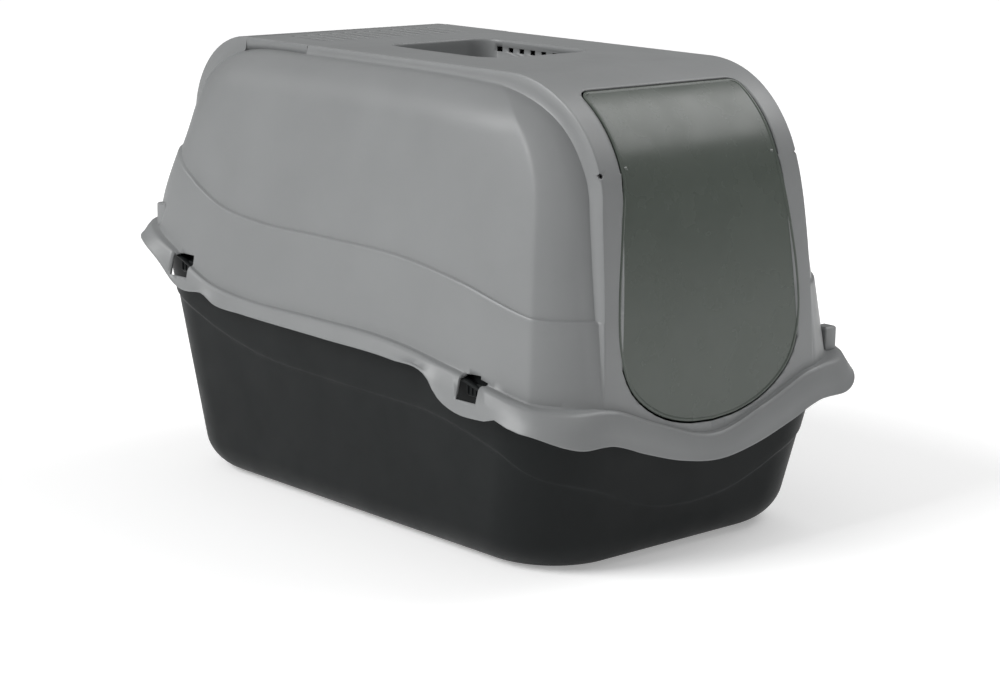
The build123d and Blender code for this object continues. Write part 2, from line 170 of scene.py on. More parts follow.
def outside_band(p):
    """How far outside the raised middle band points are."""
    y, z = p[..., 1], p[..., 2]
    upper = np.hypot(y - BAND_Y, z - BAND_Z) - BAND_R
    lower = np.hypot(y - BAND_LOW_Y, z - BAND_LOW_Z) - BAND_R_LOW
    front = np.where(z > BAND_Z + BAND_R * math.sin(BAND_JOIN), upper, lower)
    lean = B_LEAN / (PLAN_Z - LOW_Z - LOW_SLOPE * 292.5)
    back = np.where(z > BACK_Z + 6, np.hypot(y - BACK_Y, z - BACK_Z) - R_BACK - PROUD,
                    y - B_TOP - PROUD - lean * (PLAN_Z - z))
    return np.maximum.reduce([np.where(y < BAND_Y, front, -1), np.where(y > BACK_Y, back, -1), z - TOP])


def outside_skirt(p):
    """How far outside the skirt's plan outline points are."""
    x, y = np.abs(p[..., 0]), np.abs(p[..., 1])
    return corner(x - HALF_W, y - HALF_L, -SKIRT_R, -SKIRT_R, SKIRT_R, 0, math.pi / 2)


def cast(origin, way, outside, far=340.0):
    """Where rays from inside leave a shape."""
    near, end = np.zeros(origin.shape[:-1]), np.full(origin.shape[:-1], far)
    for _ in range(34):
        mid = (near + end) / 2
        out = outside(origin + way * mid[..., None]) > 0
        end, near = np.where(out, mid, end), np.where(out, near, mid)
    return origin + way * near[..., None]


# One column of the hood is a vertical plane: wall rows from the rim to the crease and on up,
# then rows that fan over the rounding to the deck.
BELT_ROWS = [(-3.0, 1.0), (-1.0, 0.98), (-0.2, 0.8), (0.3, 0.3), (0.9, 0.0)]
LOW_ROWS = np.linspace(0, 1, 12)[:-1]
HIGH_ROWS = np.linspace(0, 1, 12)[1:]
FAN_ROWS = np.linspace(0, 1, 28)[1:]


def column(base, way, outside=outside_hood, belt=True):
    """Points of one column from the plan point base in the plan direction way."""
    base, way = np.array(base, float), np.array(way, float)
    level = np.array([way[0], way[1], 0.0])
    foot = np.array([base[0], base[1], 200.0])
    wall = cast(foot[None], level[None], outside)[0]
    zr = float(rim_height(wall[0], wall[1]))
    crease = max(float(rim_side(wall[1])) + CREASE, zr + 20)
    zs = [zr + (crease - 3.0 - zr) * f for f in LOW_ROWS]
    proud = [1.0] * len(zs)
    for dz, p in BELT_ROWS:
        zs.append(crease + dz)
        proud.append(p)
    for f in HIGH_ROWS:
        zs.append(crease + 0.9 + (BOX_Z0 - crease - 0.9) * f)
        proud.append(0.0)
    origin = np.array([[base[0], base[1], z] for z in zs])
    side = abs(way[0]) ** 2
    a, b = 108 * (1 - side) + 40 * side, 92.0
    angles = [math.atan2(b * math.sin(t * math.pi / 2), a * math.cos(t * math.pi / 2)) for t in FAN_ROWS]
    origin = np.concatenate([origin, np.tile([base[0], base[1], BOX_Z0], (len(angles), 1))])
    ways = np.concatenate([np.tile(level, (len(zs), 1)),
                           [level * math.cos(t) + np.array([0, 0, math.sin(t)]) for t in angles]])
    proud = np.array(proud + [0.0] * len(angles))
    got = cast(origin, ways, outside)
    if belt:
        got = got + ways * (proud * BELT)[:, None]
    return got


DECK_Y = sorted(set(list(np.linspace(BAND_Y, BACK_Y, 62)) + [111.9, 112.1, 204.9, 205.1]))
EDGE = [(-3.0, 1.0), (-1.4, 0.975), (-0.4, 0.86), (0.3, 0.5), (1.1, 0.14), (2.1, 0.025), (3.4, 0.0)]


def band_slice(x_in, edge_at=None):
    """A slice of the hood along Y. edge_at is a place across the band's edge, or none inside it."""
    side = -1.0 if (x_in if edge_at is None else edge_at[2]) < 0 else 1.0
    weight = 1.0 if edge_at is None else edge_at[1]

    def rows(base_y, way_y):
        x = x_in if edge_at is None else side * BAND_HALF
        raised = column((x, base_y), (0, way_y), outside=outside_band, belt=False)
        if edge_at is None:
            return raised
        xs = side * (band_edge(raised[:, 2]) if way_y < 0 else np.full(len(raised), BAND_HALF))
        xs = xs + side * edge_at[0]
        plain = column((side * 127.0, base_y), (0, way_y))
        raised[:, 0] = plain[:, 0] = xs
        return raised * weight + plain * (1 - weight)

    front, back = rows(BAND_Y, -1.0), rows(BACK_Y, 1.0)
    x_deck = (x_in if edge_at is None else side * (BAND_HALF + edge_at[0]))
    ys = np.array(DECK_Y[1:-1])
    deck = np.column_stack([np.full(len(ys), x_deck), ys, np.full(len(ys), BOX_Z0)])
    deck = cast(deck, np.tile([0, 0, 1.0], (len(ys), 1)), outside_hood)
    w = np.where((ys > SEAT[0]) & (ys < SEAT[1]), 0.0, weight)
    deck[:, 2] = deck[:, 2] * (1 - w) + TOP * w
    return np.concatenate([front, deck, back[::-1]])


def grid_faces(bm, rows, closed=False, flip=False):
    """Quads over a list of vertex rows."""
    n = len(rows)
    for i in range(n if closed else n - 1):
        a, b = rows[i], rows[(i + 1) % n]
        for k in range(len(a) - 1):
            quad = [a[k], a[k + 1], b[k + 1], b[k]]
            ring = [v for j, v in enumerate(quad) if v is not quad[j - 1]]
            if len(set(ring)) >= 3:
                bm.faces.new(ring[::-1] if flip else ring)


def cut_convex(bm, planes, keep):
    """Removes the part of the faces chosen by keep that lies inside all the planes."""
    planes = [(Vector(co), Vector(no)) for co, no in planes]
    faces = [f for f in bm.faces if keep(f.calc_center_median())]
    faces = [f for f in faces if all(min((v.co - co).dot(no) for v in f.verts) < -1e-4 for co, no in planes)]
    for co, no in planes:
        geom = list({v for f in faces for v in f.verts}) + list({e for f in faces for e in f.edges}) + faces
        got = bmesh.ops.bisect_plane(bm, geom=geom, dist=1e-4, plane_co=co, plane_no=no)["geom"]
        faces = [f for f in got if isinstance(f, bmesh.types.BMFace)
                 and (f.calc_center_median() - co).dot(no) < 0]
    bmesh.ops.delete(bm, geom=faces, context="FACES")


def outline_planes(points, axis):
    """Cutting planes along a convex outline, given anticlockwise as seen against the axis."""
    planes = []
    for (ax, ay), (bx, by) in zip(points, points[1:] + points[:1]):
        no = (by - ay, -(bx - ax))
        size = math.hypot(*no)
        no = (no[0] / size, no[1] / size)
        if axis == "z":
            planes.append(((ax, ay, 0.0), (no[0], no[1], 0.0)))
        elif axis == "y":
            planes.append(((ax, 0.0, ay), (no[0], 0.0, no[1])))
        else:
            planes.append(((0.0, ax, ay), (0.0, no[0], no[1])))
    return planes


def rounded_box(cx, cy, hx, hy, r, steps=8):
    """Outline of a rounded rectangle, anticlockwise."""
    pts = []
    for k, (sx, sy) in enumerate(((1, 1), (-1, 1), (-1, -1), (1, -1))):
        for i in range(steps + 1):
            a = math.pi / 2 * (k + i / steps)
            pts.append((cx + sx * (hx - r) + r * math.cos(a), cy + sy * (hy - r) + r * math.sin(a)))
    return pts


def door_outline(grow, n=64):
    """Front view of the door as x, z points, anticlockwise from the bottom; grow moves it out."""
    xs, zs = np.array(DOOR, float).T
    run = np.concatenate([[0], np.cumsum(np.hypot(np.diff(xs), np.diff(zs)))])
    t = np.linspace(0, 1, n)
    at_x, at_z = through(list(zip(run, xs))), through(list(zip(run, zs)))
    x, z = at_x(t * run[-1]), at_z(t * run[-1])
    dx, dz = np.gradient(x), np.gradient(z)
    size = np.hypot(dx, dz)
    x, z = x + grow * dz / size, z - grow * dx / size
    x[0] = 0.0
    return x, z


def new_object(name, bm, body, replaced=(), smooth=30.0):
    """A mesh object from a bmesh in millimetres, smooth apart from its sharp edges."""
    mesh = bpy.data.meshes.new(name)
    for v in bm.verts:
        v.co *= MM
    bm.to_mesh(mesh)
    bm.free()
    obj = bpy.data.objects.new(name, mesh)
    bpy.context.scene.collection.objects.link(obj)
    mesh.shade_smooth()
    mesh.set_sharp_from_angle(angle=math.radians(smooth))
    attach(obj, body)
    if replaced:
        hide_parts(*replaced)
    return obj


def thicken(obj, thickness):
    """Gives a skin its wall, on the inside."""
    mod = obj.modifiers.new("wall", "SOLIDIFY")
    mod.thickness = thickness * MM
    mod.offset = -1.0
    mod.use_rim = True
    mod.use_quality_normals = False


def block(bm, x, y, z, r=1.0):
    """A small block with cut corners between pairs of limits."""
    cx, cy, cz = (sum(x) / 2, sum(y) / 2, sum(z) / 2)
    hx, hy, hz = (abs(x[1] - x[0]) / 2, abs(y[1] - y[0]) / 2, abs(z[1] - z[0]) / 2)
    rings = []
    for dz, ins in ((-hz, r), (-hz + r, 0.0), (hz - r, 0.0), (hz, r)):
        pts = rounded_box(cx, cy, hx - ins, hy - ins, max(r * 1.2 - ins, 0.2), 3)
        rings.append([bm.verts.new((px, py, cz + dz)) for px, py in pts])
    for a, b in zip(rings, rings[1:]):
        for k in range(len(a)):
            bm.faces.new((a[k], a[(k + 1) % len(a)], b[(k + 1) % len(a)], b[k]))
    bm.faces.new(rings[0][::-1])
    bm.faces.new(rings[-1])


# ---------------------------------------------------------------- hood
def hood_skin():
    """Outer skin of the hood, and the columns' wall points at the rim, where the skirt joins it."""
    inner_x = np.linspace(-117, 117, 41)
    slices = [band_slice(0, (e[0], e[1], -1)) for e in EDGE[::-1]]
    slices += [band_slice(x) for x in inner_x]
    slices += [band_slice(0, (e[0], e[1], 1)) for e in EDGE]
    rows = len(LOW_ROWS) + len(BELT_ROWS) + len(HIGH_ROWS) + len(FAN_ROWS)
    patches = []
    # Directions of the front corner's columns, closer together where it turns
    fan = [5.5, 8.0] + list(np.arange(10, 37, 1.35)) + list(np.arange(40, 90, 5))
    for side in (1, -1):
        cols = []
        for deg in fan:
            a = math.radians(deg)
            cols.append(column((side * SIDE_X, BAND_Y), (side * math.sin(a), -math.cos(a))))
        for y in DECK_Y:
            cols.append(column((side * SIDE_X, y), (side, 0.0)))
        for deg in np.linspace(0, 90, 20)[1:-1]:
            a = math.radians(deg)
            cols.append(column((side * SIDE_X, BACK_Y), (side * math.cos(a), math.sin(a))))
        patches.append(cols)
    bm = bmesh.new()
    strip = [[bm.verts.new(p) for p in s] for s in slices]
    grid_faces(bm, strip)
    feet = [[], []]
    for side, cols in zip((1, -1), patches):
        line = strip[-1] if side > 0 else strip[0]
        count = len(line)
        grids = [line[:rows]]
        first_deck = rows - 1
        nf = len(fan)
        for j, c in enumerate(cols):
            verts = [bm.verts.new(p) for p in c[:-1]]
            if j < nf:
                top = line[first_deck]
            elif j < nf + len(DECK_Y):
                top = line[first_deck + (j - nf)]
            else:
                top = line[count - rows]
            grids.append(verts + [top])
        grids.append(line[count - rows:][::-1])
        grid_faces(bm, grids, flip=side < 0)
        feet[0 if side > 0 else 1] = [g[0] for g in grids]
    # Ring of rim vertices, anticlockwise from above starting at the front middle.
    right, left = feet
    front = [s[0] for s in strip]
    back = [s[-1] for s in strip]
    ring = front[1:] + right[1:-1] + back[::-1] + left[::-1][1:-1] + [front[0]]
    return bm, ring


def add_skirt(bm, ring):
    """Flared skirt from the rim: a groove, a sloping face and a rounded lower edge."""
    rows = [list(ring)]
    wall = np.array([v.co[:] for v in ring])
    centre = np.stack([np.clip(wall[:, 0], -127, 127), np.clip(wall[:, 1], BAND_Y, BACK_Y), wall[:, 2]], 1)
    way = wall - centre
    way[:, 2] = 0
    way /= np.linalg.norm(way, axis=1)[:, None]
    outer = cast(centre, way, outside_skirt)
    low = skirt_height(outer[:, 0], outer[:, 1])
    reach_out = np.linalg.norm((outer - wall)[:, :2], axis=1)
    rim, groove_end = wall[:, 2], SKIRT_GROOVE[-1][1]
    profile = [(share, rim - drop) for share, drop in SKIRT_GROOVE]
    profile.append((SKIRT_SLOPE[0], rim - groove_end + (low - rim + groove_end) * SKIRT_SLOPE[1]))
    profile += [(share, low + rise) for share, rise in SKIRT_EDGE]
    for share, z in profile:
        pos = wall + way * (reach_out * share)[:, None]
        pos[:, 2] = z
        rows.append([bm.verts.new(p) for p in pos])
    columns = [list(c) for c in zip(*rows)]
    grid_faces(bm, columns, closed=True, flip=True)


def make_hood():
    """The whole hood: skin, skirt, openings, handle recess and two small ears."""
    bm, ring = hood_skin()
    add_skirt(bm, ring)
    # Door opening: the bulging part below the pivots, and the straight part above them
    x, z = door_outline(DOOR_GAP)
    half = [(float(px), float(pz)) for px, pz in zip(x, z) if pz < PIVOT_Z]
    half = half[::2] + [(float(np.interp(PIVOT_Z, z, x)), PIVOT_Z)]
    loop = half + [(-px, pz) for px, pz in half[::-1][:-1]]
    cut_convex(bm, outline_planes(loop, "y"), lambda c: c.y < -180)
    hx, r = half[-1][0], DOOR_CORNER + DOOR_GAP
    climb = Vector((0.0, math.cos(DOOR_TOP), math.sin(DOOR_TOP)))
    hub = Vector((0.0, BAND_Y, BAND_Z))
    planes = [((0.0, 0.0, PIVOT_Z), (0.0, 0.0, -1.0)), (hub + climb * DOOR_GAP, climb),
              ((hx, 0.0, 0.0), (1.0, 0.0, 0.0)), ((-hx, 0.0, 0.0), (-1.0, 0.0, 0.0))]
    for side in (-1, 1):
        for k in range(1, 6):
            a = math.pi / 2 * k / 6
            no = Vector((side * math.cos(a), 0, 0)) + climb * math.sin(a)
            planes.append((hub + Vector((side * (hx - r), 0, 0)) + climb * (DOOR_GAP - r) + no * r, no))
    cut_convex(bm, planes, lambda c: c.y < -180)
    # Handle recess
    hx, y0, y1, r = RECESS
    recess = rounded_box(0, (y0 + y1) / 2, hx + 2.5, (y1 - y0) / 2 + 2.5, r + 2.5, 8)
    cut_convex(bm, outline_planes(recess, "z"), lambda c: c.z > 400)
    # Slots under the filter cover
    for k in range(SLOTS):
        slot = rounded_box((k - (SLOTS - 1) / 2) * SLOT_PITCH, SLOT_Y, 2.25, 29.0, 2.2, 3)
        cut_convex(bm, outline_planes(slot, "z"), lambda c: c.z > 400)
    # Pin ends show in small holes on the band
    for side in (-1, 1):
        dot = [(side * PIN_HOLE_X + PIN_HOLE_R * math.cos(a), PIVOT_Z + PIN_HOLE_R * math.sin(a))
               for a in (math.pi * k / 6 for k in range(12))]
        cut_convex(bm, outline_planes(dot, "y"), lambda c: c.y < -255 and abs(c.x) < 121.5)
    # Clip windows
    for y, low in CLIPS:
        y0, y1, z0, z1 = WINDOW
        win = [(y + y0, low + z0), (y + y1, low + z0), (y + y1, low + z1), (y + y0, low + z1)]
        cut_convex(bm, outline_planes(win, "x"), lambda c: abs(c.x) > 188 and c.z < 232)
    bmesh.ops.remove_doubles(bm, verts=bm.verts, dist=0.002)
    add_pan(bm)
    bmesh.ops.reverse_faces(bm, faces=bm.faces)
    for sx, sy, low in EARS:
        block(bm, (sx * 171.0, sx * 186.0), (sy * 252.0, sy * 267.0), (low - 4, low + 20), 1.5)
    hood = new_object("hood_shell", bm, "hood", ["hood"], 34)
    thicken(hood, WALL)
    return hood


def add_pan(bm):
    """Handle recess: rounded lip, walls with a row of vents, and a floor."""
    hx, y0, y1, r = RECESS
    cy, hy = (y0 + y1) / 2, (y1 - y0) / 2
    rings = []
    for out, z in ((2.5, TOP), (1.2, TOP - 0.35), (0.4, TOP - 1.2), (0.0, TOP - 2.6), (-0.3, VENT_TOP),
                   (-0.4, VENT_LOW), (-1.6, TOP - 34), (-3.0, TOP - 39), (-6.0, TOP - 42),
                   (-10.0, TOP - RECESS_DEEP)):
        pts = rounded_box(0, cy, hx + out, hy + out, r + out, 8)
        rings.append([bm.verts.new((a, b, z)) for a, b in pts])
    for a, b in zip(rings, rings[1:]):
        for k in range(len(a)):
            bm.faces.new((a[k], b[k], b[(k + 1) % len(a)], a[(k + 1) % len(a)]))
    bm.faces.new(rings[-1])
    for k in range(VENTS):
        y = cy + (k - (VENTS - 1) / 2) * VENT_PITCH
        vent = [(y - VENT_HALF, VENT_LOW), (y + VENT_HALF, VENT_LOW), (y + VENT_HALF, VENT_TOP),
                (y - VENT_HALF, VENT_TOP)]
        cut_convex(bm, outline_planes(vent, "x"),
                   lambda c: 60 < abs(c.x) < 63 and TOP - 13 < c.z < TOP - 5)


# ---------------------------------------------------------------- filter cover
def make_cover():
    """Cap that finishes the band behind the handle, with long slots."""
    bm = bmesh.new()
    y0, y1 = SEAT[0] + 0.4, SEAT[1] - 0.4
    ys = [y0, y0, y0 + 0.4, y0 + 1.2] + list(np.linspace(y0 + 3, y1 - 3, 30)) + [y1 - 1.2, y1 - 0.4, y1, y1]
    drop_y = [7.4, 1.0, 0.3, 0.0] + [0.0] * 30 + [0.0, 0.3, 1.0, 7.4]
    xs = [-124, -124, -123.6, -122.6] + list(np.linspace(-119, 119, 41)) + [122.6, 123.6, 124, 124]
    drop_x = [12.0, 1.2, 0.35, 0.0] + [0.0] * 41 + [0.0, 0.35, 1.2, 12.0]
    rows = [[bm.verts.new((x, y, TOP - max(a, b))) for x, a in zip(xs, drop_x)] for y, b in zip(ys, drop_y)]
    grid_faces(bm, rows, flip=True)
    for k in range(SLOTS):
        slot = rounded_box((k - (SLOTS - 1) / 2) * SLOT_PITCH, SLOT_Y, 3.1, 31.0, 3.0, 3)
        cut_convex(bm, outline_planes(slot, "z"), lambda c: c.z > 410)
    top = max(bm.faces, key=lambda f: f.calc_center_median().z)
    if top.normal.z < 0:
        bmesh.ops.reverse_faces(bm, faces=bm.faces)
    cover = new_object("filter_cover_cap", bm, "cover", ["filter_cover"], 34)
    thicken(cover, 2.2)
    return cover


# ---------------------------------------------------------------- door
def band_line():
    """Points down the middle of the band's front: run length from the top edge, y, z."""
    top = math.pi / 2 - DOOR_TOP
    angles = np.linspace(top, BAND_JOIN, 60)
    pts = [(BAND_Y - BAND_R * math.cos(a), BAND_Z + BAND_R * math.sin(a)) for a in angles]
    for z in np.linspace(pts[-1][1] - 4, 110, 60):
        pts.append((BAND_LOW_Y - math.sqrt(BAND_R_LOW ** 2 - (z - BAND_LOW_Z) ** 2), z))
    return np.array(pts)


LINE = band_line()
RUN = np.concatenate([[0], np.cumsum(np.hypot(*np.diff(LINE, axis=0).T))])


def on_band(x, run, proud=0.0):
    """A point on the band's front face, from its place across and its run down from the door's top."""
    y, z = np.interp(run, RUN, LINE[:, 0]), np.interp(run, RUN, LINE[:, 1])
    y2, z2 = np.interp(run + 0.5, RUN, LINE[:, 0]), np.interp(run + 0.5, RUN, LINE[:, 1])
    y1, z1 = np.interp(max(run - 0.5, 0), RUN, LINE[:, 0]), np.interp(max(run - 0.5, 0), RUN, LINE[:, 1])
    dy, dz = y2 - y1, z2 - z1
    size = math.hypot(dy, dz)
    return Vector((x, y + proud * dz / size, z - proud * dy / size))


def door_loop(grow):
    """Outline of the door as (x, run) pairs, anticlockwise from the bottom."""
    x, z = door_outline(grow, 56)
    run = np.interp(-z, -LINE[:, 1], RUN)
    side = [(float(a), float(b)) for a, b, c in zip(x, run, z) if c < 352]
    xt = side[-1][0]
    r = DOOR_CORNER + grow
    top = -grow
    c = (xt - r, top + r)
    arc = [(c[0] + r * math.cos(a), c[1] - r * math.sin(a)) for a in np.linspace(0, math.pi / 2, 8)]
    upright = [(xt, float(pr)) for pr in np.linspace(side[-1][1], c[1], 20)[1:-1]]
    half = side + upright + arc
    return half + [(-px, pr) for px, pr in half[::-1][:-1]]


def make_door():
    """Curved door panel with a rolled rim and two lugs for the pins."""
    bm = bmesh.new()
    loop = door_loop(0.0)
    rings = []
    for grow, proud in ((-0.2, -1.9), (0.0, -1.2), (0.0, -0.2), (-0.5, 0.35), (-1.6, 0.6), (-2.7, 0.35),
                        (-3.3, -0.25)):
        pts = door_loop(grow)
        rings.append([bm.verts.new(on_band(px, max(pr, 0.01), proud)) for px, pr in pts])
    n = len(loop)
    for a, b in zip(rings, rings[1:]):
        for k in range(n):
            bm.faces.new((a[k], a[(k + 1) % n], b[(k + 1) % n], b[k]))
    # Face inside the rim: rows straight across, because the door curves one way only.
    inner = door_loop(-3.3)
    half = inner[:len(inner) // 2 + 1]
    verts = rings[-1]
    left = [verts[-k] for k in range(len(half))]
    right = verts[:len(half)]
    cols = 24
    rows = []
    for k, (px, pr) in enumerate(half):
        if px < 0.01:
            rows.append([right[k]])
            continue
        row = [left[k]]
        for j in range(1, cols):
            row.append(bm.verts.new(on_band(-px + 2 * px * j / cols, max(pr, 0.01), -0.25)))
        rows.append(row + [right[k]])
    for a, b in zip(rows, rows[1:]):
        if len(a) == 1:
            for j in range(len(b) - 1):
                bm.faces.new((a[0], b[j + 1], b[j]))
        else:
            for j in range(len(b) - 1):
                bm.faces.new((a[j], a[j + 1], b[j + 1], b[j]))
    bmesh.ops.recalc_face_normals(bm, faces=bm.faces)
    for side in (-1, 1):
        block(bm, (side * 86.5, side * 92.0), (PIVOT_Y - 4.5, PIVOT_Y + 5.0),
              (PIVOT_Z - 5.0, PIVOT_Z + 5.0), 1.2)
    door = new_object("door_panel", bm, "door", ["door"], 40)
    thicken(door, 1.8)
    return door


# ---------------------------------------------------------------- tray
def make_tray():
    """Base tray: rounded foot, a soft step line, leaning walls and rolled flange; then its four hooks."""
    bm = bmesh.new()
    corners = ((1, 1), (-1, 1), (-1, -1), (1, -1))
    norms = []
    for k, (sx, sy) in enumerate(corners):
        for i in range(19):
            a = math.pi / 2 * (k + i / 18)
            norms.append((sx, sy, math.cos(a), math.sin(a)))

    def section(z, inset):
        """Plan outline of the tray at a height, moved in by inset."""
        pts = []
        for sx, sy, cx, cy in norms:
            y_guess = sy * 200.0
            top_z = 215.0 + LOW_SLOPE * y_guess
            t = np.clip(z / top_z, -0.2, 1.3)
            w, f, b = 165 + 25 * t, 261 + 23.5 * t, 263 + 23.5 * t
            r = 80 - 26 * t
            ly = b if sy > 0 else f
            pts.append((sx * (w - r) + (r - inset) * cx, sy * (ly - r) + (r - inset) * cy))
        return pts

    straight = 14

    def fill(pts):
        """Adds points along the four straight sides."""
        out = []
        for k in range(4):
            arc = pts[k * 19:(k + 1) * 19]
            nxt = pts[((k + 1) * 19) % len(pts)]
            out += arc
            last = arc[-1]
            for j in range(1, straight):
                s = j / straight
                out.append((last[0] * (1 - s) + nxt[0] * s, last[1] * (1 - s) + nxt[1] * s))
        return out

    line_side = through([(-291, 90), (-236, 105), (-183, 118), (-128, 128), (-71, 129), (16, 130), (110, 134),
                         (173, 148), (227, 168), (290, 176)])
    line_front = through([(0, 45), (58, 50), (98, 62), (134, 78), (170, 88), (205, 92)])

    def line_height(x, y):
        front = np.clip((-y - 215) / 50, 0, 1)
        front = front * front * (3 - 2 * front)
        return line_side(y) * (1 - front) + line_front(abs(x)) * front

    rows = []
    foot = 30.0
    for share in (0.35, 0.65, 0.85):
        base = fill(section(0.0, foot))
        rows.append([(x * share, y * share, 0.0) for x, y in base])
    for a in np.linspace(0, math.pi / 2, 12):
        z = foot - foot * math.cos(a)
        rows.append([(x, y, z) for x, y in fill(section(z, foot - foot * math.sin(a)))])
    flat = fill(section(120.0, 0.0))
    step = [float(line_height(x, y)) for x, y in flat]
    rim = [float(rim_height(x, y)) - 3.0 for x, y in fill(section(180.0, 0.0))]

    def row_at(heights, out):
        """One row round the wall at its own height at each place, moved out."""
        around = [(fill_at(z)[k], z) for k, z in enumerate(heights)]
        return [(p[0] + p[2] * out, p[1] + p[3] * out, z) for p, z in around]

    samples = np.linspace(0, 260, 27)
    stack = np.array([fill(section(z, 0.0)) for z in samples])

    def fill_at(z):
        i = min(int(z // 10), 25)
        t = z / 10 - i
        pts = stack[i] * (1 - t) + stack[i + 1] * t
        nxt, prev = np.roll(pts, -1, 0), np.roll(pts, 1, 0)
        d = nxt - prev
        size = np.hypot(d[:, 0], d[:, 1])
        return np.column_stack([pts, d[:, 1] / size, -d[:, 0] / size])

    for f in np.linspace(0, 1, 7)[1:-1]:
        rows.append(row_at([foot + (s - 4 - foot) * f for s in step], 0.0))
    for dz, out in ((-4, 0.0), (-2.2, 0.1), (-1.0, 0.5), (0.0, 1.1), (1.0, 1.5), (2.4, 1.6)):
        rows.append(row_at([s + dz for s in step], out))
    for f in np.linspace(0, 1, 11)[1:]:
        rows.append(row_at([s + 2.4 + (r - 3.5 - s - 2.4) * f for s, r in zip(step, rim)], 1.6))
    for dz, out in ((-3.2, 3.0), (-3.0, 7.0), (-2.2, 8.2), (-1.0, 8.4), (-0.2, 7.8), (0.0, 6.5), (0.0, 1.0)):
        rows.append(row_at([r + dz for r in rim], out))
    loops = [[bm.verts.new(p) for p in row] for row in rows]
    middle = bm.verts.new((0, 0, 0))
    n = len(loops[0])
    for k in range(n):
        bm.faces.new((middle, loops[0][(k + 1) % n], loops[0][k]))
    for a, b in zip(loops, loops[1:]):
        for k in range(n):
            bm.faces.new((a[k], a[(k + 1) % n], b[(k + 1) % n], b[k]))
    bmesh.ops.recalc_face_normals(bm, faces=bm.faces)
    tray = new_object("tray_shell", bm, "base", ["base_tray"], 50)
    thicken(tray, WALL)
    hooks = bmesh.new()
    for side in (-1, 1):
        for y, low in CLIPS:
            z = low + 20.0
            # A plate behind the window, the hook on it, and four ridges on the hook
            block(hooks, (side * 178.5, side * 183.5), (y - 14, y + 30), (z - 17.0, z + 13.0), 1.2)
            block(hooks, (side * 182.0, side * 191.5), (y - 10, y + 9), (z - 6.5, z + 5.0), 1.2)
            for k in range(4):
                yy = y - 7.5 + 5 * k
                block(hooks, (side * 190.5, side * 192.8), (yy - 1.1, yy + 1.1), (z - 4.5, z + 3.5), 0.5)
    hooks = new_object("tray_hooks", hooks, "base", [], 40)
    return tray, hooks


# ---------------------------------------------------------------- pins and pad
def make_pin(name, side):
    """A turned pin with chamfered ends; its outer end stops inside the band."""
    bm = bmesh.new()
    rings = []
    facets = 28
    for x, r in ((87.0, 1.6), (87.6, 2.15), (118.6, 2.15), (119.4, 1.7), (119.4, 1.1), (118.8, 0.8)):
        rings.append([bm.verts.new((side * x, PIVOT_Y + r * math.cos(a), PIVOT_Z + r * math.sin(a)))
                      for a in (2 * math.pi * k / facets for k in range(facets))])
    for a, b in zip(rings, rings[1:]):
        for k in range(facets):
            bm.faces.new((a[k], a[(k + 1) % facets], b[(k + 1) % facets], b[k]))
    bm.faces.new(rings[0])
    bm.faces.new(rings[-1])
    bmesh.ops.recalc_face_normals(bm, faces=bm.faces)
    return new_object(name + "_turned", bm, "hood", [name], 35)


def make_pad():
    """Carbon filter pad with a soft uneven face and pressed edges."""
    bm = bmesh.new()
    lo, hi = (np.array(v) * 1000 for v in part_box("filter_pad"))
    rng = np.random.default_rng(7)
    nx, ny = 70, 26
    bumps = rng.normal(0, 0.16, (ny, nx))
    tops, bottoms = [], []
    for j in range(ny):
        top, bottom = [], []
        for i in range(nx):
            x = lo[0] + (hi[0] - lo[0]) * i / (nx - 1)
            y = lo[1] + (hi[1] - lo[1]) * j / (ny - 1)
            edge = min(i, nx - 1 - i, (j if j < ny / 2 else ny - 1 - j)) / 3.0
            puff = min(edge, 1.0) ** 0.5
            mid = (lo[2] + hi[2]) / 2
            h = (hi[2] - lo[2]) / 2
            top.append(bm.verts.new((x, y, mid + h * (0.35 + 0.6 * puff) + bumps[j, i] * puff * 0.3 - 0.1)))
            bottom.append(bm.verts.new((x, y, mid - h * (0.35 + 0.6 * puff))))
        tops.append(top)
        bottoms.append(bottom)
    grid_faces(bm, tops)
    grid_faces(bm, bottoms, flip=True)
    ring_t = tops[0] + [r[-1] for r in tops[1:]] + tops[-1][::-1][1:] + [r[0] for r in tops[::-1][1:-1]]
    ring_b = (bottoms[0] + [r[-1] for r in bottoms[1:]] + bottoms[-1][::-1][1:]
              + [r[0] for r in bottoms[::-1][1:-1]])
    for k in range(len(ring_t)):
        m = (k + 1) % len(ring_t)
        bm.faces.new((ring_t[k], ring_t[m], ring_b[m], ring_b[k]))
    bmesh.ops.recalc_face_normals(bm, faces=bm.faces)
    return new_object("filter_pad_felt", bm, "cover", ["filter_pad"], 60)


